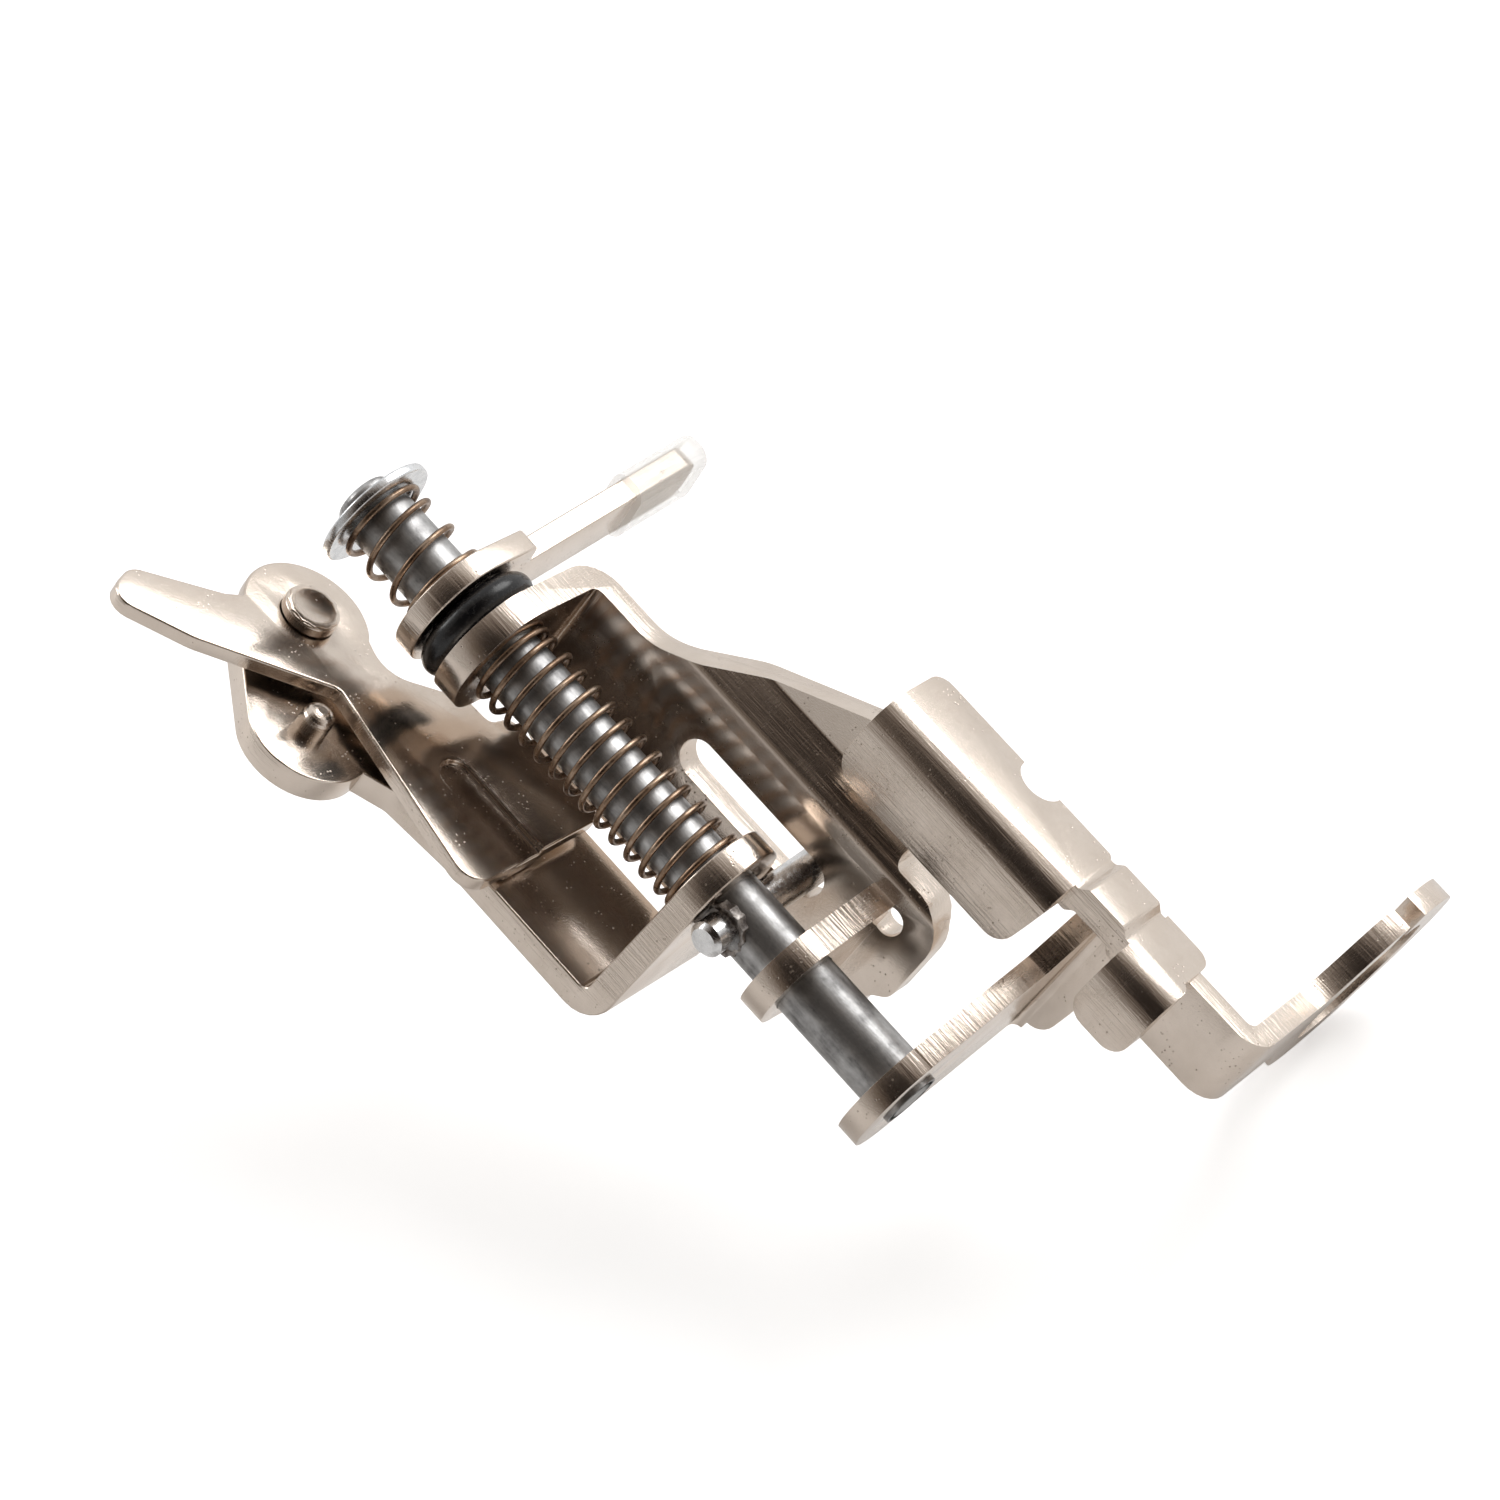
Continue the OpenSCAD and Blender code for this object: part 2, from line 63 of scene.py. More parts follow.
mm = 0.001
shaftLow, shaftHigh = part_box("plunger_shaft")
shaftX = (shaftLow.x + shaftHigh.x) / 2
shaftY = (shaftLow.y + shaftHigh.y) / 2


def deselectAll():
    if bpy.context.mode != "OBJECT":
        bpy.ops.object.mode_set(mode="OBJECT")
    bpy.ops.object.select_all(action="DESELECT")


def makeActive(piece):
    deselectAll()
    piece.select_set(True)
    bpy.context.view_layer.objects.active = piece


def placeInMesh(piece):
    # the place goes into the mesh, so patterns on Object coordinates stay put
    makeActive(piece)
    bpy.ops.object.transform_apply(location=True, rotation=True, scale=True)


def applyModifiers(piece):
    makeActive(piece)
    for modifier in list(piece.modifiers):
        bpy.ops.object.modifier_apply(modifier=modifier.name)


def startPicking(piece, kind):
    # clears the selection in edit mode, then steps out so that code can select
    makeActive(piece)
    bpy.ops.object.mode_set(mode="EDIT")
    bpy.ops.mesh.select_mode(type=kind)
    bpy.ops.mesh.select_all(action="DESELECT")
    bpy.ops.object.mode_set(mode="OBJECT")


def selectFaces(piece, test):
    startPicking(piece, "FACE")
    for face in piece.data.polygons:
        face.select = bool(test(face.center, face.normal))
    bpy.ops.object.mode_set(mode="EDIT")


def selectVerts(piece, test):
    startPicking(piece, "VERT")
    for vert in piece.data.vertices:
        vert.select = bool(test(vert.co))
    bpy.ops.object.mode_set(mode="EDIT")


def newMaterial(name):
    material = bpy.data.materials.new(name)
    material.use_nodes = True
    tree = material.node_tree
    tree.nodes.clear()
    output = tree.nodes.new("ShaderNodeOutputMaterial")
    shader = tree.nodes.new("ShaderNodeBsdfPrincipled")
    tree.links.new(shader.outputs["BSDF"], output.inputs["Surface"])
    coords = tree.nodes.new("ShaderNodeTexCoord")
    return material, tree, shader, coords.outputs["Object"]


def noisePattern(tree, coords, scale, detail, roughness=0.55, stretch=None, turn=None):
    if stretch or turn:
        mapping = tree.nodes.new("ShaderNodeMapping")
        mapping.inputs["Scale"].default_value = stretch or (1, 1, 1)
        mapping.inputs["Rotation"].default_value = turn or (0, 0, 0)
        tree.links.new(coords, mapping.inputs["Vector"])
        coords = mapping.outputs["Vector"]
    noise = tree.nodes.new("ShaderNodeTexNoise")
    noise.inputs["Scale"].default_value = scale
    noise.inputs["Detail"].default_value = detail
    noise.inputs["Roughness"].default_value = roughness
    tree.links.new(coords, noise.inputs["Vector"])
    return noise.outputs["Fac"]


def ramp(tree, value, stops):
    # stops: list of (place, colour), from low to high
    node = tree.nodes.new("ShaderNodeValToRGB")
    elements = node.color_ramp.elements
    while len(elements) < len(stops):
        elements.new(0.5)
    for element, (place, colour) in zip(elements, stops):
        element.position = place
        element.color = (*colour, 1)
    tree.links.new(value, node.inputs["Fac"])
    return node.outputs["Color"]


def remap(tree, value, lowIn, highIn, lowOut, highOut):
    node = tree.nodes.new("ShaderNodeMapRange")
    node.inputs["From Min"].default_value = lowIn
    node.inputs["From Max"].default_value = highIn
    node.inputs["To Min"].default_value = lowOut
    node.inputs["To Max"].default_value = highOut
    tree.links.new(value, node.inputs["Value"])
    return node.outputs["Result"]


def combine(tree, operation, a, b):
    node = tree.nodes.new("ShaderNodeMath")
    node.operation = operation
    for socket, value in zip(node.inputs, (a, b)):
        if isinstance(value, (int, float)):
            socket.default_value = value
        else:
            tree.links.new(value, socket)
    return node.outputs["Value"]


def mixColours(tree, amount, a, b):
    node = tree.nodes.new("ShaderNodeMix")
    node.data_type = "RGBA"
    tree.links.new(amount, node.inputs["Factor"])
    for name, value in (("A", a), ("B", b)):
        socket = [s for s in node.inputs if s.name == name and s.type == "RGBA"][0]
        if isinstance(value, tuple):
            socket.default_value = (*value, 1)
        else:
            tree.links.new(value, socket)
    return [s for s in node.outputs if s.type == "RGBA"][0]


def colourFrom(tree, shader, value, tones):
    tree.links.new(ramp(tree, value, tones), shader.inputs["Base Color"])


def roughFrom(tree, shader, value, reach, rough):
    # reach: the pattern's low and high value, rough: the roughness at each
    tree.links.new(remap(tree, value, *reach, *rough), shader.inputs["Roughness"])


def bumpFrom(tree, shader, heights):
    # heights: list of (value, depth in metres), finest last
    normal = None
    for value, depth in heights:
        bump = tree.nodes.new("ShaderNodeBump")
        bump.inputs["Strength"].default_value = 1.0
        bump.inputs["Distance"].default_value = depth
        tree.links.new(value, bump.inputs["Height"])
        if normal is not None:
            tree.links.new(normal, bump.inputs["Normal"])
        normal = bump.outputs["Normal"]
    tree.links.new(normal, shader.inputs["Normal"])


# Bright nickel over pressed steel: soft waviness, small pits, hairlines, torn sheared edges
nickelLook = {
    "tones": [(0.30, (0.70, 0.605, 0.52)), (0.62, (0.78, 0.685, 0.60))],
    "clouds": {"scale": 420, "detail": 5, "roughness": 0.6},
    "cloudReach": (0.3, 0.75),
    "cloudRough": (0.21, 0.15),      # roughness of dull and of bright clouds
    "waves": {"scale": 170, "detail": 1, "roughness": 0.4},
    "waveDepth": 0.008 * mm,
    "grain": {"scale": 9000, "detail": 3, "roughness": 0.6},
    "grainDepth": 0.005 * mm,
    "hairlines": {"scale": 900, "detail": 4, "roughness": 0.7, "stretch": (1, 1, 14)},
    "hairlineReach": (0.45, 0.8),
    "hairlineRough": 0.05,           # how much rougher the hairlines are
    "pitColour": (0.30, 0.24, 0.19),
    "pitScale": 3600,
    "pitSize": (0.11, 0.23),         # the pit's full depth and its rim
    "pitPatches": {"scale": 700, "detail": 2},
    "patchReach": (0.50, 0.66),
    "pitShade": 0.7,
    "pitRough": 0.25,
    "pitDepth": 0.01 * mm,
    "tears": {"scale": 3400, "detail": 3, "roughness": 0.7, "stretch": (1, 1, 0.05)},
    "tearRough": 0.06,
    "tearDepth": 0.03 * mm,
    "shearUpright": (0.25, 0.45),    # tears fade out as a face turns up or down
    "shearAcross": (0.80, 0.93),     # and as it turns the way the sheet faces
}


def shearMask(tree, look, sheetAxis):
    # 1 on faces that stand square to the sheet's own face and so were sheared
    texture = tree.nodes.new("ShaderNodeTexCoord")
    split = tree.nodes.new("ShaderNodeSeparateXYZ")
    tree.links.new(texture.outputs["Normal"], split.inputs["Vector"])
    steep = combine(tree, "ABSOLUTE", split.outputs["Z"], 0)
    across = combine(tree, "ABSOLUTE", split.outputs["XYZ".index(sheetAxis)], 0)
    edge = remap(tree, steep, *look["shearUpright"], 1, 0)
    return combine(tree, "MULTIPLY", edge, remap(tree, across, *look["shearAcross"], 1, 0))


def nickelMaterial(name, look, sheetAxis):
    # sheetAxis is the way the piece's upright sheet faces
    material, tree, shader, coords = newMaterial(name)
    mask = shearMask(tree, look, sheetAxis)
    tears = noisePattern(tree, coords, **look["tears"])
    clouds = noisePattern(tree, coords, **look["clouds"])
    grain = noisePattern(tree, coords, **look["grain"])
    lines = noisePattern(tree, coords, **look["hairlines"])
    waves = noisePattern(tree, coords, **look["waves"])
    voronoi = tree.nodes.new("ShaderNodeTexVoronoi")
    voronoi.inputs["Scale"].default_value = look["pitScale"]
    voronoi.inputs["Randomness"].default_value = 1.0
    tree.links.new(coords, voronoi.inputs["Vector"])
    dots = remap(tree, voronoi.outputs["Distance"], *look["pitSize"], 1, 0)
    patches = remap(tree, noisePattern(tree, coords, **look["pitPatches"]), *look["patchReach"], 0, 1)
    pits = combine(tree, "MULTIPLY", dots, patches)
    plated = ramp(tree, clouds, look["tones"])
    shadow = combine(tree, "MULTIPLY", pits, look["pitShade"])
    stained = mixColours(tree, shadow, plated, look["pitColour"])
    tree.links.new(stained, shader.inputs["Base Color"])
    cloudRough = remap(tree, clouds, *look["cloudReach"], *look["cloudRough"])
    lineRough = remap(tree, lines, *look["hairlineReach"], 0, look["hairlineRough"])
    pitRough = combine(tree, "MULTIPLY", pits, look["pitRough"])
    tearRough = combine(tree, "MULTIPLY", mask, look["tearRough"])
    rough = combine(tree, "ADD", cloudRough, combine(tree, "ADD", lineRough, pitRough))
    tree.links.new(combine(tree, "ADD", rough, tearRough), shader.inputs["Roughness"])
    shader.inputs["Metallic"].default_value = 1.0
    bumpFrom(tree, shader, [
        (waves, look["waveDepth"]),
        (combine(tree, "MULTIPLY", pits, -1.0), look["pitDepth"]),
        (combine(tree, "MULTIPLY", mask, tears), look["tearDepth"]),
        (grain, look["grainDepth"]),
    ])
    return material


# Burnished shaft steel: grey, mottled, with marks along and round it
shaftLook = {
    "tones": [(0.36, (0.19, 0.185, 0.185)), (0.50, (0.40, 0.395, 0.39)), (0.66, (0.58, 0.575, 0.57))],
    "mottle": {"scale": 900, "detail": 6, "roughness": 0.65},
    "mottleShare": 0.55,
    "streaks": {"scale": 1500, "detail": 5, "roughness": 0.7, "stretch": (1, 1, 0.16)},
    "streakShare": 0.45,
    "streakDepth": 0.012 * mm,
    "fine": {"scale": 6500, "detail": 3, "roughness": 0.6},
    "fineDepth": 0.006 * mm,
    "reach": (0.35, 0.65),
    "rough": (0.48, 0.34),
}


def shaftMaterial(name, look):
    material, tree, shader, coords = newMaterial(name)
    mottle = noisePattern(tree, coords, **look["mottle"])
    streaks = noisePattern(tree, coords, **look["streaks"])
    fine = noisePattern(tree, coords, **look["fine"])
    both = combine(tree, "ADD", combine(tree, "MULTIPLY", mottle, look["mottleShare"]),
                   combine(tree, "MULTIPLY", streaks, look["streakShare"]))
    colourFrom(tree, shader, both, look["tones"])
    roughFrom(tree, shader, both, look["reach"], look["rough"])
    shader.inputs["Metallic"].default_value = 1.0
    bumpFrom(tree, shader, [(streaks, look["streakDepth"]), (fine, look["fineDepth"])])
    return material


# Tempered spring wire: brown oxide, rubbed brighter here and there
wireLook = {
    "tones": [(0.30, (0.12, 0.075, 0.05)), (0.50, (0.30, 0.205, 0.14)), (0.74, (0.55, 0.43, 0.33))],
    "oxide": {"scale": 700, "detail": 4, "roughness": 0.6},
    "fine": {"scale": 7000, "detail": 3, "roughness": 0.6},
    "fineDepth": 0.003 * mm,
    "reach": (0.3, 0.7),
    "rough": (0.22, 0.42),
}


def wireMaterial(name, look):
    material, tree, shader, coords = newMaterial(name)
    oxide = noisePattern(tree, coords, **look["oxide"])
    fine = noisePattern(tree, coords, **look["fine"])
    colourFrom(tree, shader, oxide, look["tones"])
    roughFrom(tree, shader, fine, look["reach"], look["rough"])
    shader.inputs["Metallic"].default_value = 1.0
    bumpFrom(tree, shader, [(fine, look["fineDepth"])])
    return material


# Bright zinc on the washer, and the paler steel of the cross pin
zincLook = {
    "tones": [(0.32, (0.62, 0.64, 0.66)), (0.56, (0.86, 0.87, 0.88))],
    "clouds": {"scale": 1100, "detail": 5, "roughness": 0.65},
    "cloudDepth": 0.012 * mm,
    "scratches": {"scale": 2600, "detail": 4, "roughness": 0.7, "stretch": (1, 6, 1), "turn": (0, 0, 0.6)},
    "scratchDepth": 0.004 * mm,
    "reach": (0.35, 0.7),
    "rough": (0.16, 0.34),
}
pinLook = dict(zincLook, tones=[(0.32, (0.60, 0.60, 0.60)), (0.56, (0.84, 0.84, 0.84))])


def zincMaterial(name, look):
    material, tree, shader, coords = newMaterial(name)
    clouds = noisePattern(tree, coords, **look["clouds"])
    scratches = noisePattern(tree, coords, **look["scratches"])
    colourFrom(tree, shader, clouds, look["tones"])
    roughFrom(tree, shader, scratches, look["reach"], look["rough"])
    shader.inputs["Metallic"].default_value = 1.0
    bumpFrom(tree, shader, [(clouds, look["cloudDepth"]), (scratches, look["scratchDepth"])])
    return material


# Black rubber of the bumper ring, with a thin film and a little dust
rubberLook = {
    "tones": [(0.55, (0.006, 0.006, 0.007)), (0.80, (0.045, 0.043, 0.042))],
    "film": {"scale": 1400, "detail": 4, "roughness": 0.6},
    "filmDepth": 0.01 * mm,
    "dust": {"scale": 5200, "detail": 2, "roughness": 0.5},
    "reach": (0.3, 0.7),
    "rough": (0.16, 0.34),
}


def rubberMaterial(name, look):
    material, tree, shader, coords = newMaterial(name)
    film = noisePattern(tree, coords, **look["film"])
    dust = noisePattern(tree, coords, **look["dust"])
    colourFrom(tree, shader, dust, look["tones"])
    roughFrom(tree, shader, film, look["reach"], look["rough"])
    bumpFrom(tree, shader, [(film, look["filmDepth"])])
    return material


# Clear soft plastic of the arm's sleeve, slightly yellowed and hazy
sleeveLook = {
    "tones": [(0.35, (0.97, 0.955, 0.92)), (0.7, (0.93, 0.90, 0.84))],
    "haze": {"scale": 900, "detail": 4, "roughness": 0.6},
    "hazeDepth": 0.02 * mm,
    "reach": (0.3, 0.7),
    "rough": (0.06, 0.20),
    "bend": 1.45,                    # index of refraction
    "solid": 0.30,                   # how much of it is seen
}


def sleeveMaterial(name, look):
    material, tree, shader, coords = newMaterial(name)
    haze = noisePattern(tree, coords, **look["haze"])
    colourFrom(tree, shader, haze, look["tones"])
    roughFrom(tree, shader, haze, look["reach"], look["rough"])
    shader.inputs["IOR"].default_value = look["bend"]
    shader.inputs["Alpha"].default_value = look["solid"]
    bumpFrom(tree, shader, [(haze, look["hazeDepth"])])
    return material


# Dark rough metal where the shaft was staked
crimpLook = {
    "tones": [(0.42, (0.16, 0.14, 0.13)), (0.70, (0.50, 0.47, 0.44))],
    "clouds": {"scale": 2600, "detail": 5, "roughness": 0.7},
    "cloudDepth": 0.03 * mm,
    "reach": (0.3, 0.7),
    "rough": (0.55, 0.30),
}


def crimpMaterial(name, look):
    material, tree, shader, coords = newMaterial(name)
    clouds = noisePattern(tree, coords, **look["clouds"])
    colourFrom(tree, shader, clouds, look["tones"])
    roughFrom(tree, shader, clouds, look["reach"], look["rough"])
    shader.inputs["Metallic"].default_value = 1.0
    bumpFrom(tree, shader, [(clouds, look["cloudDepth"])])
    return material


nickelPlate = nickelMaterial("nickelPlate", nickelLook, "Y")
nickelWall = nickelMaterial("nickelWall", nickelLook, "X")
shaftSteel = shaftMaterial("shaftSteel", shaftLook)
springWire = wireMaterial("springWire", wireLook)
brightZinc = zincMaterial("brightZinc", zincLook)
pinSteel = zincMaterial("pinSteel", pinLook)
ringRubber = rubberMaterial("ringRubber", rubberLook)
clearSleeve = sleeveMaterial("clearSleeve", sleeveLook)
crimpMetal = crimpMaterial("crimpMetal", crimpLook)
print("materials made")

nodeFinish = {
    "plunger_frame": nickelWall,
    "presser_bar_bracket": nickelPlate,
    "sewing_foot": nickelWall,
    "needle_clamp_arm": nickelPlate,
    "lifter_bracket": nickelPlate,
    "stop_rivet": nickelPlate,
    "finger_lever": nickelPlate,
    "lever_pivot_rivet": nickelPlate,
    "plunger_shaft": shaftSteel,
    "cross_pin": pinSteel,
    "top_washer": brightZinc,
    "bumper_ring": ringRubber,
    "arm_sleeve": clearSleeve,
    "main_spring": springWire,
    "lift_spring": springWire,
}

for nodeName, finish in nodeFinish.items():
    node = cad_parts[nodeName]
    node.data.materials.clear()
    node.data.materials.append(finish)
print("node finishes set")

# Pressed sheets with rolled edges: each one's node, body, material slot and edge radius in millimetres
pressedSheets = {
    "frameSheet": {"node": "plunger_frame", "body": "frame", "slot": "nickel_plate", "edge": 0.32},
    "bracketSheet": {"node": "presser_bar_bracket", "body": "frame", "slot": "nickel_plate", "edge": 0.42},
    "footSheet": {"node": "sewing_foot", "body": "plunger", "slot": "nickel_plate", "edge": 0.30},
    "armSheet": {"node": "needle_clamp_arm", "body": "arm", "slot": "nickel_plate", "edge": 0.30},
    "lifterSheet": {"node": "lifter_bracket", "body": "lifter", "slot": "nickel_plate", "edge": 0.34},
    "leverSheet": {"node": "finger_lever", "body": "lever", "slot": "nickel_plate", "edge": 0.14},
    "washerDisc": {"node": "top_washer", "body": "plunger", "slot": "zinc_plate", "edge": 0.12},
}
edgeRoll = {
    "mergeWithin": 0.002 * mm,
    "flatWithin": 0.6,               # degrees between triangles of one face
    "steps": 4,
    "sharpFrom": 40,                 # degrees from which an edge is rolled
    "smoothTo": 32,
}


def rollEdges(name, sizes):
    # a copy of the node, merged and cleared of its inner triangle edges, then bevelled
    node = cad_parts[sizes["node"]]
    sheet = node.copy()
    sheet.data = node.data.copy()
    for key in list(sheet.keys()):
        del sheet[key]
    sheet.parent = None
    sheet.matrix_world = Matrix.Identity(4)
    sheet.name = name
    bpy.context.scene.collection.objects.link(sheet)
    makeActive(sheet)
    bpy.ops.mesh.customdata_custom_splitnormals_clear()
    bpy.ops.object.mode_set(mode="EDIT")
    bpy.ops.mesh.select_all(action="SELECT")
    bpy.ops.mesh.remove_doubles(threshold=edgeRoll["mergeWithin"])
    bpy.ops.mesh.dissolve_limited(angle_limit=math.radians(edgeRoll["flatWithin"]), delimit=set())
    bpy.ops.object.mode_set(mode="OBJECT")
    rolled = sheet.modifiers.new("rolledEdge", "BEVEL")
    rolled.width = sizes["edge"] * mm
    rolled.segments = edgeRoll["steps"]
    rolled.limit_method = "ANGLE"
    rolled.angle_limit = math.radians(edgeRoll["sharpFrom"])
    rolled.miter_outer = "MITER_ARC"
    applyModifiers(sheet)
    bpy.ops.object.shade_smooth_by_angle(angle=math.radians(edgeRoll["smoothTo"]))
    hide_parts(sizes["node"])
    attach(sheet, sizes["body"])
    print("rolled", name, len(sheet.data.polygons), "faces")


for sheetName, sheetSizes in pressedSheets.items():
    rollEdges(sheetName, sheetSizes)

# Wound springs: deadTurns is the part-turn at each end that lies closed
mainSpring = {"node": "main_spring", "body": "frame", "joint": "plunger_slide",
              "turns": 14, "wire": 0.34 * mm, "deadTurns": 0.75, "sides": 12, "steps": 40}
liftSpring = {"node": "lift_spring", "body": "plunger", "joint": "arm_slide",
              "turns": 4, "wire": 0.34 * mm, "deadTurns": 0.75, "sides": 12, "steps": 48}
coilSmoothTo = 50                    # degrees


def coilSpring(name, sizes, material):
    low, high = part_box(sizes["node"])
    wire, turns, dead, sides = sizes["wire"], sizes["turns"], sizes["deadTurns"], sizes["sides"]
    coilRadius = (high.x - low.x) / 2 - wire / 2
    foot = Vector(((low.x + high.x) / 2, (low.y + high.y) / 2, low.z + wire / 2))
    rise = high.z - low.z - wire
    deselectAll()
    bpy.ops.mesh.primitive_circle_add(vertices=sides, radius=wire / 2, fill_type="NOTHING",
                                      location=(coilRadius, 0, 0), rotation=(math.pi / 2, 0, 0))
    coil = bpy.context.active_object
    coil.name = name
    placeInMesh(coil)
    screw = coil.modifiers.new("wind", "SCREW")
    screw.angle = 2 * math.pi
    screw.iterations = turns
    screw.screw_offset = rise / turns
    screw.steps = sizes["steps"]
    screw.render_steps = sizes["steps"]
    screw.use_merge_vertices = False
    applyModifiers(coil)
    lead = (rise - 2 * wire * dead) / (turns - 2 * dead)
    lastRing = len(coil.data.vertices) // sides - 1

    def heightAt(turn):
        # closed at both ends, open and even between them
        if turn < dead:
            return wire * turn
        if turn > turns - dead:
            return rise - wire * (turns - turn)
        return wire * dead + (turn - dead) * lead

    for vert in coil.data.vertices:
        share = (vert.index // sides) / lastRing
        vert.co.z += heightAt(turns * share) - rise * share
        vert.co += foot
    # the cut ends are closed
    makeActive(coil)
    bpy.ops.object.mode_set(mode="EDIT")
    bpy.ops.mesh.select_mode(type="EDGE")
    bpy.ops.mesh.select_all(action="DESELECT")
    bpy.ops.mesh.select_non_manifold()
    bpy.ops.mesh.fill_holes(sides=0)
    bpy.ops.mesh.select_all(action="SELECT")
    bpy.ops.mesh.normals_make_consistent(inside=False)
    bpy.ops.object.mode_set(mode="OBJECT")
    bpy.ops.object.shade_smooth_by_angle(angle=math.radians(coilSmoothTo))
    coil.data.materials.append(material)
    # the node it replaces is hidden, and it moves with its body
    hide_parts(sizes["node"])
    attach(coil, sizes["body"])
    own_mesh(coil)


coilSpring("mainCoil", mainSpring, springWire)
coilSpring("liftCoil", liftSpring, springWire)
print("springs wound")

stakeShape = {
    "faceUp": 0.9,                   # a face counts as the top when its normal is steeper
    "innerRim": 0.6,                 # the dished step's width beside the rim's
    "softenSteps": 2,
    "sharpFrom": 35,                 # degrees
    "smoothTo": 40,
}


def stakedRing(name, centre, facing, sizes, body, material):
    # a toothed disc: every other edge of a cylinder drawn in, its face inset and dished
    teeth = sizes["teeth"]
    deselectAll()
    bpy.ops.mesh.primitive_cylinder_add(vertices=teeth * 2, radius=sizes["radius"], depth=sizes["height"],
                                        end_fill_type="NGON", location=(0, 0, 0))
    ring = bpy.context.active_object
    ring.name = name
    step = math.pi / teeth
    selectVerts(ring, lambda co: round(math.atan2(co.x, co.y) / step) % 2 == 0)
    draw = 1 - sizes["toothDepth"] / sizes["radius"]
    bpy.ops.transform.resize(value=(draw, draw, 1), center_override=(0, 0, 0))
    selectFaces(ring, lambda at, normal: normal.z > stakeShape["faceUp"])
    bpy.ops.mesh.inset(thickness=sizes["rim"], depth=0)
    bpy.ops.mesh.inset(thickness=sizes["rim"] * stakeShape["innerRim"], depth=-sizes["dish"])
    bpy.ops.object.mode_set(mode="OBJECT")
    soften = ring.modifiers.new("soften", "BEVEL")
    soften.width = sizes["soften"]
    soften.segments = stakeShape["softenSteps"]
    soften.limit_method = "ANGLE"
    soften.angle_limit = math.radians(stakeShape["sharpFrom"])
    applyModifiers(ring)
    turn = Vector((0, 0, 1)).rotation_difference(Vector(facing).normalized())
    ring.matrix_world = Matrix.Translation(centre) @ turn.to_matrix().to_4x4()
    placeInMesh(ring)
    bpy.ops.object.shade_smooth_by_angle(angle=math.radians(stakeShape["smoothTo"]))
    ring.data.materials.append(material)
    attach(ring, body)


# around the cross pin, on the side of the shaft that the pin leaves
pinStake = {"teeth": 15, "radius": 1.50 * mm, "height": 0.60 * mm, "toothDepth": 0.13 * mm,
            "rim": 0.20 * mm, "dish": 0.15 * mm, "soften": 0.04 * mm,
            "sunk": 0.30 * mm, "turn": -9}
pinLow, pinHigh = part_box("cross_pin")
pinTurn = math.radians(pinStake["turn"])
pinAxis = Vector((math.cos(pinTurn), math.sin(pinTurn), 0))
pinMiddle = Vector((shaftX, shaftY, (pinLow.z + pinHigh.z) / 2))
pinReach = (shaftHigh.x - shaftLow.x) / 2 - pinStake["sunk"]
pinStakeAt = pinMiddle - pinAxis * pinReach
stakedRing("pinStake", pinStakeAt, -pinAxis, pinStake, "plunger", crimpMetal)

# on the shaft's lower end
footStake = {"teeth": 18, "radius": 1.5 * mm, "height": 0.20 * mm, "toothDepth": 0.14 * mm,
             "rim": 0.25 * mm, "dish": 0.06 * mm, "soften": 0.03 * mm}
footMiddle = (shaftX, shaftY, shaftLow.z + footStake["height"] / 2)
stakedRing("footStake", footMiddle, (0, 0, -1), footStake, "plunger", crimpMetal)

# on the head of the lever's pivot
pivotStake = {"teeth": 12, "radius": 1.46 * mm, "height": 0.20 * mm, "toothDepth": 0.12 * mm,
              "rim": 0.30 * mm, "dish": 0.10 * mm, "soften": 0.04 * mm}
pivotLow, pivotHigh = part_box("lever_pivot_rivet")
pivotMiddle = ((pivotLow.x + pivotHigh.x) / 2, pivotLow.y, (pivotLow.z + pivotHigh.z) / 2)
stakedRing("pivotStake", pivotMiddle, (0, -1, 0), pivotStake, "lifter", nickelPlate)
print("rings staked")

viewSizes = {
    "aim": (-23.0 * mm, 1.15 * mm, 26.86 * mm),
    "distance": 213.1 * mm,
    "azimuth": -52.876,              # degrees, as are the next two
    "elevation": -10.057,
    "roll": -42.571,
    "lens": 106.9,
    "sensor": 36,
    "nearest": 5 * mm,
    "farthest": 10,
}


def viewAxes(sizes):
    # the view's right, up and back directions
    azimuth, elevation, roll = (math.radians(sizes[k]) for k in ("azimuth", "elevation", "roll"))
    away = Vector((math.cos(elevation) * math.sin(azimuth), -math.cos(elevation) * math.cos(azimuth),
                   math.sin(elevation)))
    level = Vector((math.cos(azimuth), math.sin(azimuth), 0))
    upright = away.cross(level)
    return (level * math.cos(roll) + upright * math.sin(roll),
            -level * math.sin(roll) + upright * math.cos(roll), away)


right, up, back = viewAxes(viewSizes)
cameraData = bpy.data.cameras.new("camera")
cameraData.lens = viewSizes["lens"]
cameraData.sensor_width = viewSizes["sensor"]
cameraData.clip_start = viewSizes["nearest"]
cameraData.clip_end = viewSizes["farthest"]
camera = bpy.data.objects.new("camera", cameraData)
bpy.context.scene.collection.objects.link(camera)
turnMatrix = Matrix((right, up, back)).transposed().to_4x4()
standAt = Vector(viewSizes["aim"]) + back * viewSizes["distance"]
camera.matrix_world = Matrix.Translation(standAt) @ turnMatrix
bpy.context.scene.camera = camera
print("camera set")

floorLook = {
    "tilt": 45,                      # how far the view looks down on the floor, degrees
    "size": 3.0,
    "gap": 0.02 * mm,
    "mottle": {"scale": 60, "detail": 3, "roughness": 0.5},
    "tones": [(0.3, (0.9207,) * 3), (0.7, (0.93,) * 3)],
    "rough": 0.6,
    "specular": 0.25,
    "glow": 0.50,                    # only as the camera sees it, not in reflections
}


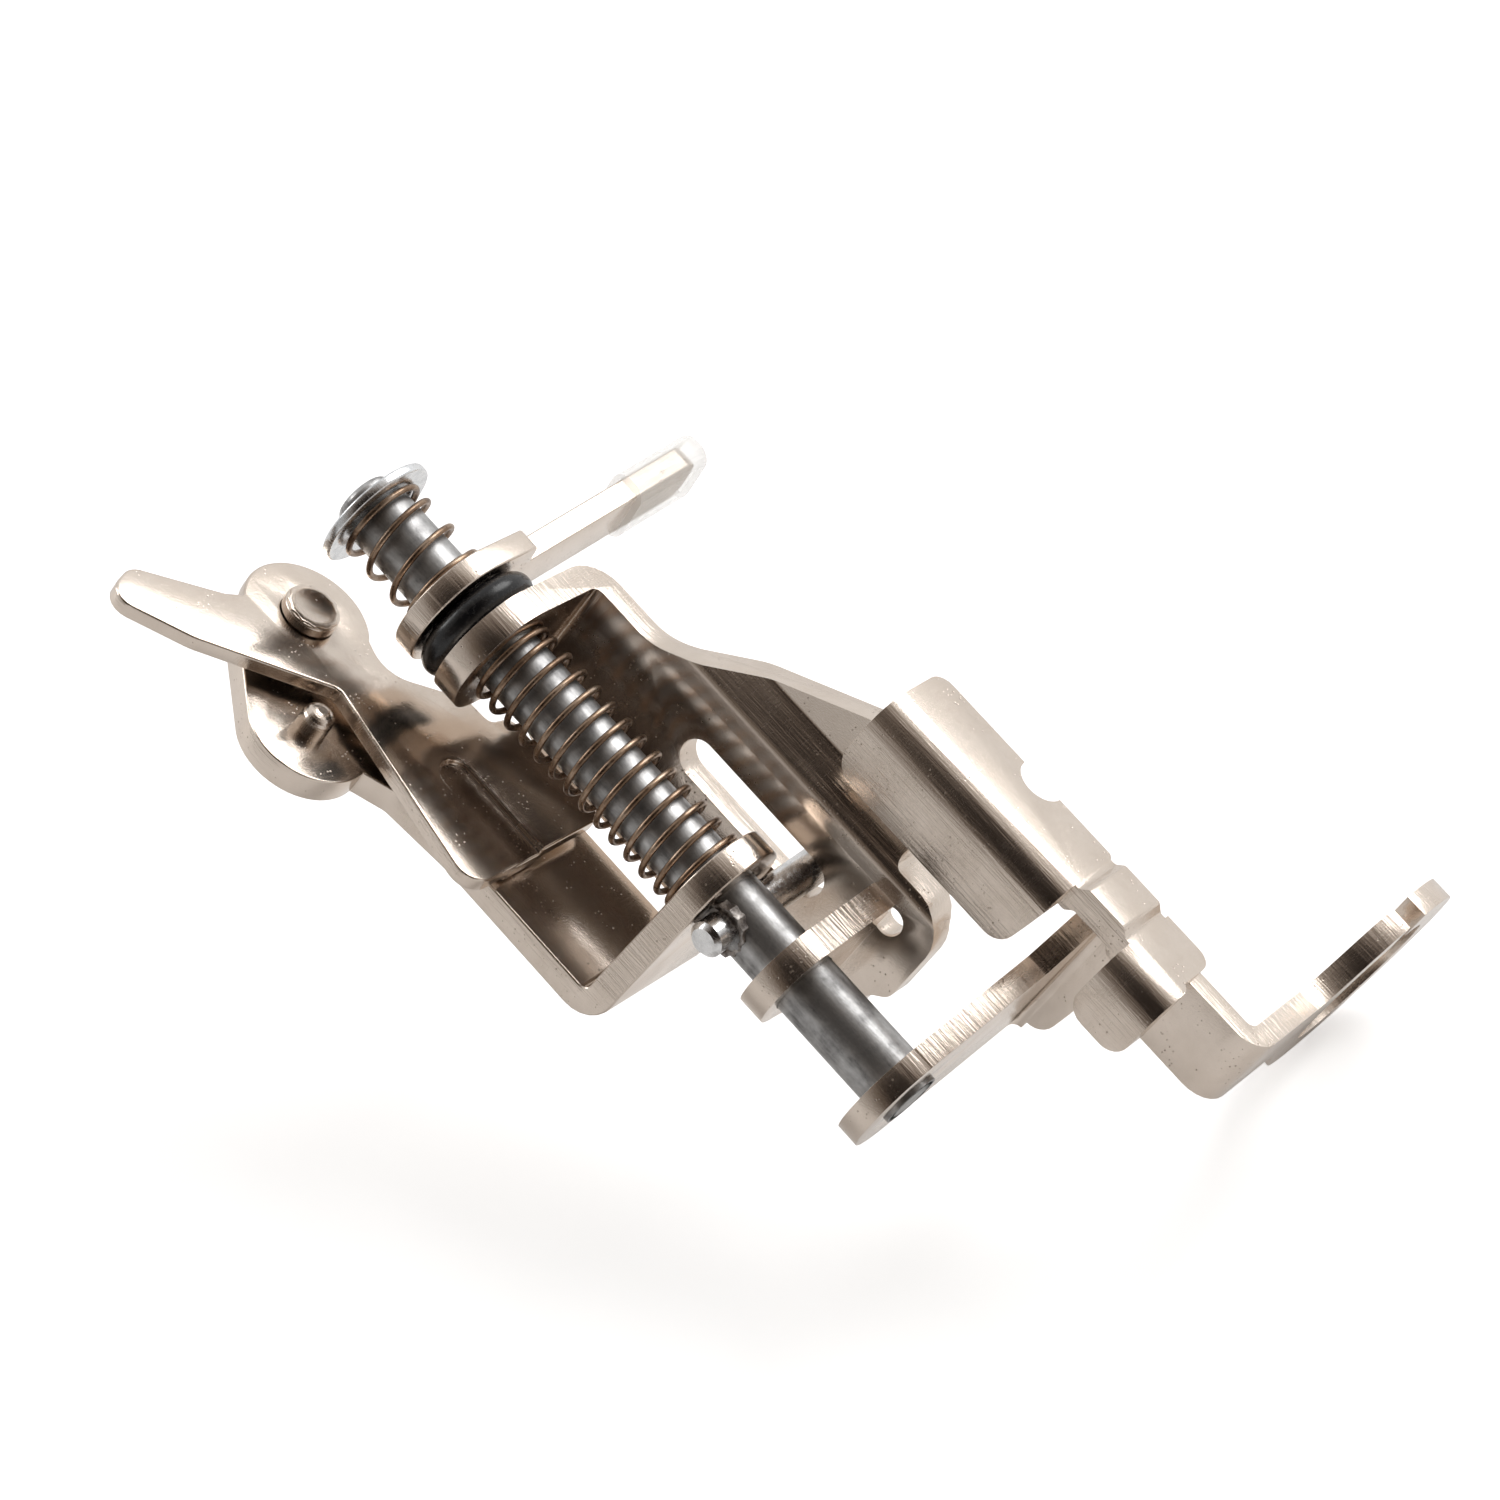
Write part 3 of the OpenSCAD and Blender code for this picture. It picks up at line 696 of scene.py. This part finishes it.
def floorMaterial(name, look):
    # seen from above only, so a view from below looks through it
    material, tree, shader, coords = newMaterial(name)
    colourFrom(tree, shader, noisePattern(tree, coords, **look["mottle"]), look["tones"])
    shader.inputs["Roughness"].default_value = look["rough"]
    shader.inputs["Specular IOR Level"].default_value = look["specular"]
    shader.inputs["Emission Color"].default_value = (1, 1, 1, 1)
    seen = tree.nodes.new("ShaderNodeLightPath")
    tree.links.new(combine(tree, "MULTIPLY", seen.outputs["Is Camera Ray"], look["glow"]),
                   shader.inputs["Emission Strength"])
    clear = tree.nodes.new("ShaderNodeBsdfTransparent")
    geometry = tree.nodes.new("ShaderNodeNewGeometry")
    oneSide = tree.nodes.new("ShaderNodeMixShader")
    tree.links.new(geometry.outputs["Backfacing"], oneSide.inputs["Fac"])
    tree.links.new(shader.outputs["BSDF"], oneSide.inputs[1])
    tree.links.new(clear.outputs["BSDF"], oneSide.inputs[2])
    tree.links.new(oneSide.outputs["Shader"], tree.nodes["Material Output"].inputs["Surface"])
    return material


tilt = math.radians(floorLook["tilt"])
floorNormal = (up * math.cos(tilt) + back * math.sin(tilt)).normalized()
lowest = min(vert.co.dot(floorNormal)
             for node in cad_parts.values() for vert in node.data.vertices)
centre = (Vector(boundsBefore[0]) + Vector(boundsBefore[1])) / 2
floorAt = centre + floorNormal * (lowest - centre.dot(floorNormal) - floorLook["gap"])
deselectAll()
bpy.ops.mesh.primitive_plane_add(size=floorLook["size"], location=floorAt)
floor = bpy.context.active_object
floor.name = "floor"
floor.rotation_mode = "QUATERNION"
floor.rotation_quaternion = Vector((0, 0, 1)).rotation_difference(floorNormal)
placeInMesh(floor)
floor.data.materials.append(floorMaterial("paleFloor", floorLook))


def viewBlend(above, aside, behind):
    # a direction as shares of the view's up, right and back
    return (up * above + right * aside + back * behind).normalized()


# The room is bright all round, with one warm dark side behind the camera
roomLook = {
    "light": 0.84,
    "darkSide": [(0.20, (1, 1, 1)), (0.55, (0.78, 0.75, 0.72)), (0.78, (0.24, 0.19, 0.155)),
                 (0.92, (0.018, 0.012, 0.009))],
    "brightest": (0.85, 0.5, -0.15),  # shares for viewBlend
    "fadeReach": 0.9,
    "farShade": 0.62,                # how bright the side away from it is
}


def facingShare(tree, coords, direction):
    node = tree.nodes.new("ShaderNodeVectorMath")
    node.operation = "DOT_PRODUCT"
    node.inputs[1].default_value = direction
    tree.links.new(coords, node.inputs[0])
    return node.outputs["Value"]


def roomWorld(name, look):
    world = bpy.data.worlds.new(name)
    world.use_nodes = True
    tree = world.node_tree
    tree.nodes.clear()
    output = tree.nodes.new("ShaderNodeOutputWorld")
    background = tree.nodes.new("ShaderNodeBackground")
    coords = tree.nodes.new("ShaderNodeTexCoord").outputs["Generated"]
    darkSide = ramp(tree, facingShare(tree, coords, back), look["darkSide"])
    sideways = facingShare(tree, coords, viewBlend(*look["brightest"]))
    slope = remap(tree, sideways, -look["fadeReach"], look["fadeReach"], look["farShade"], 1.0)
    shade = tree.nodes.new("ShaderNodeVectorMath")
    shade.operation = "SCALE"
    tree.links.new(darkSide, shade.inputs[0])
    tree.links.new(slope, shade.inputs["Scale"])
    tree.links.new(shade.outputs["Vector"], background.inputs["Color"])
    background.inputs["Strength"].default_value = look["light"]
    tree.links.new(background.outputs["Background"], output.inputs["Surface"])
    return world


bpy.context.scene.world = roomWorld("room", roomLook)

# towards: shares for viewBlend, distance and size in metres, power in watts
softLights = {
    "keyLight": {"towards": (0.75, 0.5, 0.15), "distance": 0.6, "size": 0.40, "power": 1.6},
    "fillLight": {"towards": (0.45, -0.85, 0.1), "distance": 0.6, "size": 0.30, "power": 0.7},
}

for lightName, light in softLights.items():
    lampData = bpy.data.lights.new(lightName, "AREA")
    lampData.shape = "DISK"
    lampData.size = light["size"]
    lampData.energy = light["power"]
    lamp = bpy.data.objects.new(lightName, lampData)
    bpy.context.scene.collection.objects.link(lamp)
    direction = viewBlend(*light["towards"])
    lamp.matrix_world = (Matrix.Translation(centre + direction * light["distance"])
                         @ Vector((0, 0, 1)).rotation_difference(direction).to_matrix().to_4x4())
bpy.context.scene.view_settings.view_transform = "Standard"
bpy.context.scene.view_settings.look = "None"
print("floor and light set")
